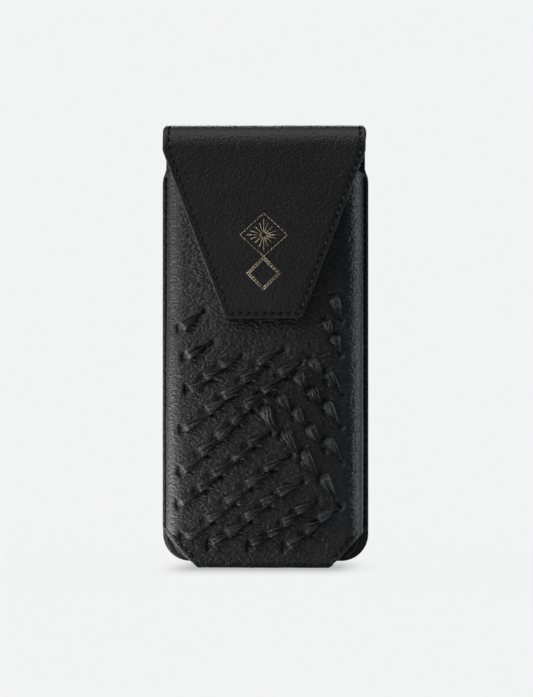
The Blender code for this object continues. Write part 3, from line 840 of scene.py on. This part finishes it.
def row_ends(node, falling):
    """First and last slit of a CAD lace, worked out from its box."""
    low, high = corner(node, 0), corner(node, 1)
    span = Vector((high.x - low.x, 0.0, high.z - low.z))
    direction = span.normalized()
    for _ in range(4):
        inner = Vector((span.x - 2 * (LACE_TAIL * direction.x + LACE_HALF * direction.z), 0.0,
                        span.z - 2 * (LACE_TAIL * direction.z + LACE_HALF * direction.x)))
        direction = inner.normalized()
    middle = Vector(((low.x + high.x) / 2, 0.0, (low.z + high.z) / 2))
    half = Vector((inner.x / 2, 0.0, -inner.z / 2 if falling else inner.z / 2))
    return middle - half, middle + half


def lace_stitches():
    """All stitches, grouped by CAD lace node."""
    rng = random.Random(5)
    groups = {}
    for kind, counts in (("rising", RISING_COUNTS), ("falling", FALLING_COUNTS)):
        rising = kind == "rising"
        for number, count in enumerate(counts, 1):
            node = f"lace_{kind}_{number}"
            start, end = row_ends(node, not rising)
            step = (end - start) / count
            groups[node] = []
            for k in range(count):
                middle = start + step * (k + 0.5)
                middle += Vector((rng.uniform(-0.5, 0.5), 0.0, rng.uniform(-0.5, 0.5)))
                length = min(max(step.length * rng.uniform(1.25, 1.5), 8.5), 14.0)
                width = (2.0 if rising else 2.4) * rng.uniform(0.8, 1.15)
                height = (1.6 if rising else 2.1) * rng.uniform(0.85, 1.15)
                slit = -0.5 if rising and k == 0 else 0.0
                stitch = Stitch(middle, step.normalized(), length, width, height, rising, slit)
                groups[node].append(stitch)
    return groups


LACE_SECTIONS = 44
LACE_RING = 40
LACE_UNDER = 8  # of the ring's points, these lie on the hidden underside
LEAN_AT_HEAD, LEAN_GAIN = -24.0, 58.0  # degrees by which a thong rolls along its length
# Heights in a section: its dome in half-widths, the gathered head's pucker and the raised hem
DOME, HEAD_PUCKER, HEM = 0.55, 0.42, 0.30
HEM_AT, HEM_WIDTH = 0.72, 0.16  # in half-widths
# Width where a stitch starts, share at which it is full, what its tail loses, and from where to where
RISING_TAPER = (0.6, 0.12, 0.72, 0.22, 0.95)
FALLING_TAPER = (0.8, 0.10, 0.80, 0.12, 0.90)
RISING_START, FALLING_START = -0.75, -0.35  # height where it starts, sunk in its slit
FULL_RISE = 0.85


def lace_width(t, rising):
    """Half-width along a stitch: a wide gathered head that narrows to a tail."""
    start, full_at, lost, lost_from, lost_to = RISING_TAPER if rising else FALLING_TAPER
    return (start + (1 - start) * float(smooth(0.0, full_at, t))
            - lost * float(smooth(lost_from, lost_to, t)))


def lace_rise(t, rising):
    """Height of the lace's middle over the leather; it comes up steeply, sinks and dives in."""
    start = RISING_START if rising else FALLING_START
    return (start + (FULL_RISE - start) * float(smooth(0.0, 0.2, t))
            - 0.75 * float(smooth(0.3, 0.85, t)) - 0.7 * float(smooth(0.86, 1.0, t)))


def crease(u, t, seed):
    """Sharp lengthwise pleats, between 0 in a fold and 1 on a ridge; u runs across from -1 to 1."""
    drift = 0.5 * noise.noise(Vector((t * 2.2, seed, 3.1)))
    coarse = noise.noise(Vector((u * 1.9 + drift, t * 1.0, seed)))
    fine = noise.noise(Vector((u * 4.4 + drift * 2, t * 1.7 + 7.0, seed)))
    return 1 - abs(coarse) * 2.8 + 0.6 * (0.5 - abs(fine) * 2.4)


def lace_section(stitch, t, seed, twist):
    """Points round the lace at share t of its length, as (across, up) from its middle."""
    half = lace_width(t, stitch.rising) * stitch.width
    gathered = 1 - float(smooth(0.12, 0.4, t))
    lean = math.radians(LEAN_AT_HEAD + LEAN_GAIN * t) * twist
    points = []
    top_count = LACE_RING - LACE_UNDER
    for k in range(top_count):
        u = -math.cos(math.pi * k / (top_count - 1))
        dome = math.sqrt(max(0.0, 1 - u * u))
        pleats = (0.16 + 0.24 * half) * crease(u, t, seed) * dome ** 0.5
        pucker = gathered * HEAD_PUCKER * noise.noise(Vector((u * 2.0, t * 9.0, seed + 5.0))) * dome
        hem = HEM * math.exp(-((u - HEM_AT) / HEM_WIDTH) ** 2) * half ** 0.5
        points.append((u * half, DOME * half * dome + pleats + pucker + hem))
    for k in range(LACE_UNDER):
        u = math.cos(math.pi * (k + 1) / (LACE_UNDER + 1))
        points.append((u * half * 0.96, -0.28 * half * math.sqrt(1 - u * u) - 0.12))
    turn, tilt = math.cos(lean), math.sin(lean)
    return [(a * turn - b * tilt, a * tilt * 0.7 + b * turn) for a, b in points]


def build_lace(node, group, seed):
    """A row of pleated leather stitches in one mesh."""
    rng = random.Random(seed)
    vertices = []
    faces = []
    painted_shade_height = []
    for stitch in group:
        side = Vector((-stitch.along.z, 0.0, stitch.along.x))
        own = rng.uniform(0, 90)
        twist = rng.uniform(0.6, 1.3)
        bow = rng.uniform(-0.6, 0.6)
        base = len(vertices)
        for i in range(LACE_SECTIONS):
            t = i / (LACE_SECTIONS - 1)
            center = stitch.head.lerp(stitch.tail, t) + side * bow * math.sin(math.pi * t)
            surface = float(front_face(center.x, center.z))
            rise = lace_rise(t, stitch.rising) * stitch.height
            for across, up in lace_section(stitch, t, own, twist):
                point = center + side * across
                point.y = surface - rise - up
                vertices.append(point)
                # height over the leather, kept for the material's painted highlight and painted shade
                painted_shade_height.append(min(1.0, max(0.0, (rise + up) / 2.6)))
        faces += tube_faces(base, LACE_SECTIONS, LACE_RING)
    piece = mesh_piece(node.replace("lace_", "thong_"), vertices, faces, LACE, {"painted_shade_height": painted_shade_height})
    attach(piece, "shell")
    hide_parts(node)


# ---- sewing stitches

STITCH_PITCH = 3.2
STITCH_LENGTH = 2.5
STITCH_RADIUS = 0.40
STITCH_SLANT = 0.08
# The seams' distances from the edges they follow
SIDE_SEAM, MOUTH_SEAM, LAP_SEAM = 0.75, 2.2, 2.0


def stitch_mesh(places):
    """Vertices and faces of thread stitches at (middle, along, normal)."""
    vertices = []
    faces = []
    rings, sides = 7, 8
    for middle, along, normal in places:
        across = along.cross(normal)
        base = len(vertices)
        for i in range(rings):
            t = i / (rings - 1) * 2 - 1
            fat = STITCH_RADIUS * math.sqrt(max(0.05, 1 - t ** 4))
            lift = STITCH_RADIUS * (0.85 - 1.3 * t * t)
            center = middle + along * (t * STITCH_LENGTH / 2)
            for k in range(sides):
                a = 2 * math.pi * k / sides
                vertices.append(center + across * (fat * math.cos(a)) + normal * (lift + fat * math.sin(a)))
        faces += tube_faces(base, rings, sides)
    return vertices, faces


def along_path(path):
    """Evenly spaced (middle, along, normal) on a path of (point, normal) pairs."""
    places = []
    travelled = STITCH_PITCH / 2
    passed = 0.0
    for (a, normal_a), (b, normal_b) in zip(path, path[1:]):
        step = (b - a).length
        while travelled <= passed + step and step > 0:
            share = (travelled - passed) / step
            normal = normal_a.lerp(normal_b, share).normalized()
            along = Matrix.Rotation(STITCH_SLANT, 3, normal) @ (b - a).normalized()
            places.append((a.lerp(b, share), along, normal))
            travelled += STITCH_PITCH
        passed += step
    return places


def sew(name, path, nodes, body=None):
    """Stitches along a path as one piece that stands for a CAD thread."""
    vertices, faces = stitch_mesh(along_path(path))
    piece = mesh_piece(name, vertices, faces, THREAD)
    if body:
        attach(piece, body)
    else:
        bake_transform(piece)
    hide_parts(*nodes)


def build_seams():
    for side, word in ((-1, "left"), (1, "right")):
        x = side * (BACK_HALF - SIDE_SEAM)
        y = BACK_Y + SEAM_FRONT_Y
        low = (BACK_HALF - BASE_HALF) * CUT_SLOPE + 1.2
        path = [(Vector((x, y, z)), FORWARD) for z in np.linspace(low, MOUTH_Z - 1.5, 40)]
        sew(f"side_stitches_{word}", path, [f"side_thread_{word}"], "shell")

        path = []
        for beyond in np.linspace(1.6, 10.5, 26):
            reach = BASE_HALF + beyond
            z = beyond * CUT_SLOPE + CORNER_SEAM / CUT_COS
            roll = max(0.0, reach - FLAT_HALF) / FRONT_CORNER
            normal = Vector((side * roll, -math.sqrt(max(0.0, 1 - roll ** 2)), 0.0))
            path.append((Vector((side * reach, float(front_face(reach, z)), z)), normal))
        sew(f"corner_stitches_{word}", path, [f"corner_thread_{word}"], "shell")

    z = MOUTH_Z - MOUTH_SEAM
    path = [(Vector((x, float(front_face(x, z)), z)), FORWARD)
            for x in np.linspace(-FLAT_HALF, FLAT_HALF, 30)]
    sew("mouth_stitches", path, ["mouth_thread"], "shell")

    z = LAP_HEIGHT - LAP_SEAM
    half = cut_half(z) - 1.5
    path = [(Vector((x, LAP_Y, z)), -FORWARD) for x in np.linspace(-half, half, 30)]
    sew("lap_stitches", path, ["base_thread"], "shell")

    left = []
    for run in np.linspace(APEX + 3.5, TIP - FLAP_SEAM, 90):
        y, z, ny, nz = profile(run)
        half = leather_half(run) - FLAP_SEAM_ACROSS
        left.append((Vector((-half, y, z)), Vector((0.0, ny, nz))))
    tip, normal = left[-1]
    bottom = [(Vector((x, tip.y, tip.z)), normal) for x in np.linspace(tip.x, -tip.x, 20)[1:-1]]
    right = [(Vector((-p.x, p.y, p.z)), n) for p, n in reversed(left)]
    sew("flap_stitches", left + bottom + right, ["flap_thread"])


# ---- emblem

def flap_point(x, down, lift=0.0):
    """A point on the flap's outer face, down from the fold line."""
    y, z, ny, nz = profile(BACK_RUN + ARC_RUN + down)
    return Vector((x, y + ny * lift, z + nz * lift))


def lozenge(center, wide, tall):
    """A lozenge's corners as (x, down), with the first one again at the end."""
    return [(wide, center), (0.0, center - tall), (-wide, center), (0.0, center + tall),
            (wide, center)]


def between(a, b, share):
    """The point at a share of the way from a to b."""
    return tuple(p + (q - p) * share for p, q in zip(a, b))


def points_round(outline, shares):
    """Points at the given shares of each side of an outline."""
    return [between(a, b, share) for a, b in zip(outline, outline[1:]) for share in shares]


DASHES = 7  # on each side of the upper lozenge
RUNGS = 6  # slanting lines in each side of the lower one
INNER = 0.72  # half-width of the rays and of the lower lozenge
LOWER_HOLE = 0.82  # inner outline of the lower lozenge


def emblem_lines():
    """Centre lines of the foil figure, as lists of points in the flap's x and down."""
    low, high = corner("emblem", 0), corner("emblem", 1)
    top = (FLAP_LINE.z - high.z) / math.cos(SLOPE)
    bottom = (FLAP_LINE.z - low.z) / math.cos(SLOPE)
    half = high.x
    waist = top + (bottom - top) * 0.56
    upper, tall_up = (top + waist) / 2, (waist - top) / 2
    lower, tall_low = (waist + bottom) / 2, (bottom - waist) / 2

    ends = points_round(lozenge(upper, half, tall_up),
                        [(k + end) / DASHES for k in range(DASHES) for end in (0.14, 0.86)])
    lines = [list(dash) for dash in zip(ends[::2], ends[1::2])]
    for end in points_round(lozenge(upper, half * INNER, tall_up * INNER), (0.0, 0.25, 0.5, 0.75)):
        lines.append([between((0.0, upper), end, 0.25), end])
    lines.append(lozenge(upper, half * 0.16, tall_up * 0.16))
    outside = lozenge(lower, half * INNER, tall_low)
    lines.append(outside)
    lines.append([between((0.0, lower), point, LOWER_HOLE) for point in outside])
    starts = [(k + 0.5) / RUNGS for k in range(RUNGS)]
    inward = points_round(outside, [share + 0.09 for share in starts])
    for start, end in zip(points_round(outside, starts), inward):
        lines.append([start, between((0.0, lower), end, LOWER_HOLE)])
    return lines


def build_emblem():
    """Thin gold lines pressed on the flap."""
    vertices = []
    faces = []
    half_line, proud = 0.17, 0.07
    for line in emblem_lines():
        for a, b in zip(line, line[1:]):
            along = Vector((b[0] - a[0], b[1] - a[1]))
            along.normalize()
            across = Vector((-along.y, along.x)) * half_line
            extend = along * half_line * 0.6
            start, end = Vector(a) - extend, Vector(b) + extend
            base = len(vertices)
            for lift, squeeze in ((-0.05, 1.0), (proud, 0.7)):
                for place, aside in ((start, across), (start, -across), (end, -across), (end, across)):
                    flat = place + aside * squeeze
                    vertices.append(flap_point(flat.x, flat.y, lift))
            faces += tube_faces(base, 2, 4)
    piece = mesh_piece("foil_emblem", vertices, faces, FOIL)
    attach(piece, "flap")
    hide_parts("emblem")


# ---- inner pieces from the frame

def dress_inner_pieces():
    for node, material in (("back_board", BOARD), ("flap_core", BOARD),
                           ("front_magnet", MAGNET), ("flap_magnet", MAGNET)):
        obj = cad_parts[node]
        obj.data.materials.clear()
        obj.data.materials.append(material)


build_back_and_flap()
build_linings()
LACES = lace_stitches()
build_front([stitch for group in LACES.values() for stitch in group])
build_front_lining()
for index, (lace_node, lace_group) in enumerate(LACES.items()):
    build_lace(lace_node, lace_group, 100 + index)
build_seams()
build_emblem()
dress_inner_pieces()


# ---- camera, lights and floor

PAPER_GLOW = 0.822
# painted contact shadow on the paper: how deep it is and how far it reaches
SHADOW_DEPTH = 0.45  # share of the paper's glow lost right beside the pouch
SHADOW_REACH = 50.0  # how far the shadow runs in front of it
SHADOW_ASIDE = 9.0  # and how far to its sides
ROOM_LIGHT = 0.08
WHITE = (1, 1, 1)
COOL = (0.84, 0.93, 1)
MIDDLE = (0, 0, 90)
# name, place, size, watts, color, point it faces
LAMPS = (
    ("key_left", (-750, -600, 800), (500, 600), 5, WHITE, MIDDLE),
    ("edge_left", (-930, 160, 200), (400, 900), 1.7, WHITE, MIDDLE),
    ("edge_right", (1000, 160, 200), (500, 900), 4.6, COOL, MIDDLE),
    ("top", (0, -100, 1100), (900, 600), 2.9, WHITE, MIDDLE),
    ("left_bounce", (-225, -10, 1.5), (260, 300), 1.15, WHITE, (-195, -10, 60)),
    ("back_fill", (0, 1500, 500), (500, 900), 10, WHITE, MIDDLE),
    ("back_bounce", (0, 260, 1.5), (400, 400), 0.35, WHITE, (0, 200, 60)),
    ("front_bounce", (0, -150, 1.5), (260, 160), 0.045, WHITE, (0, -60, 60)),
)
VIEW_HEIGHT = 275.0  # what the picture shows at the pouch, top to bottom


def sweep_material():
    """Bright seamless paper that glows a little, so that it stays even behind the pouch, with a painted
    contact shadow round the pouch's base.
    """
    n = Nodes("paper_sweep")
    speckle = n.noise(n.place(), 40.0)
    n.set(base_color=n.ramp(speckle, (0.0, (0.93, 0.93, 0.93)), (1.0, (0.96, 0.96, 0.96))),
          roughness=0.9)
    n.shader.inputs["Specular IOR Level"].default_value = 0.0
    # painted shadow: the glow fades towards the pouch's base on the floor
    axes = n.add("SeparateXYZ", {0: n.place()}).outputs
    aside = n.math("MAXIMUM", n.math("SUBTRACT", n.math("ABSOLUTE", axes["X"]), BASE_HALF), 0.0)
    aside = n.math("MULTIPLY", aside, SHADOW_REACH / SHADOW_ASIDE)
    before = n.math("MAXIMUM", n.math("SUBTRACT", n.math("ABSOLUTE", axes["Y"]), BACK_Y), 0.0)
    square = n.math("MULTIPLY_ADD", aside, aside, n.math("MULTIPLY", before, before))
    fade = n.math("EXPONENT", n.math("MULTIPLY", square, -1.0 / SHADOW_REACH ** 2))
    on_floor = n.math("LESS_THAN", axes["Z"], 1.0)
    shade = n.math("MULTIPLY", fade, n.math("MULTIPLY", on_floor, -SHADOW_DEPTH * PAPER_GLOW))
    n.set(emission_color=(1.0, 1.0, 1.0, 1.0), emission_strength=n.math("ADD", shade, PAPER_GLOW))
    return n.material


def build_sweep():
    """Round floor that curves up into a wall; returns the collection that keeps lamps off it."""
    floor, bend, wall, steps = 4200.0, 900.0, 4200.0, 48
    line = [(40.0, 0.0), (400.0, 0.0), (floor, 0.0)]
    line += [(floor + bend * math.sin(a), bend - bend * math.cos(a))
             for a in np.linspace(0.1, math.pi / 2, 12)]
    line.append((floor + bend, wall))
    vertices = [(r * math.cos(2 * math.pi * k / steps), r * math.sin(2 * math.pi * k / steps), z)
                for r, z in line for k in range(steps)]
    faces = ring_faces(0, len(line), steps) + [tuple(range(steps))]
    sweep = mesh_piece("paper_sweep", vertices, faces, sweep_material())
    sweep.visible_diffuse = False
    sweep.visible_glossy = False
    off_paper = bpy.data.collections.new("off_paper")
    off_paper.objects.link(sweep)
    off_paper.collection_objects[0].light_linking.link_state = "EXCLUDE"
    return off_paper


def softbox(name, place, size, watts, color, aim, receivers):
    """A rectangular light that faces a point and lights what the receivers allow."""
    data = bpy.data.lights.new(name, "AREA")
    data.shape = "RECTANGLE"
    data.size, data.size_y = size[0] * MM, size[1] * MM
    data.energy = watts
    data.color = color
    light = bpy.data.objects.new(name, data)
    light.location = Vector(place) * MM
    direction = (Vector(aim) - Vector(place)).normalized()
    light.rotation_euler = direction.to_track_quat("-Z", "Y").to_euler()
    light.visible_camera = False
    light.light_linking.receiver_collection = receivers
    bpy.context.collection.objects.link(light)


def build_stage():
    scene = bpy.context.scene
    scene.view_settings.view_transform = "Standard"
    world = bpy.data.worlds.new("studio")
    scene.world = world
    world.use_nodes = True
    background = world.node_tree.nodes["Background"]
    background.inputs["Color"].default_value = (0.92, 0.95, 1.0, 1.0)
    background.inputs["Strength"].default_value = ROOM_LIGHT
    off_paper = build_sweep()
    for lamp in LAMPS:
        softbox(*lamp, off_paper)

    camera = bpy.data.objects.new("camera", bpy.data.cameras.new("camera"))
    bpy.context.collection.objects.link(camera)
    scene.camera = camera
    azimuth = math.radians(2.0)
    distance = 2500.0
    target = Vector((0.6, 5.0, 86.0))
    back = Vector((math.sin(azimuth), -math.cos(azimuth), 0.0))
    camera.location = (target + back * distance) * MM
    camera.rotation_euler = (math.pi / 2, 0.0, azimuth)
    camera.data.lens = 36.0 * distance / VIEW_HEIGHT
    camera.data.clip_start = 0.01
    camera.data.clip_end = 20.0


build_stage()
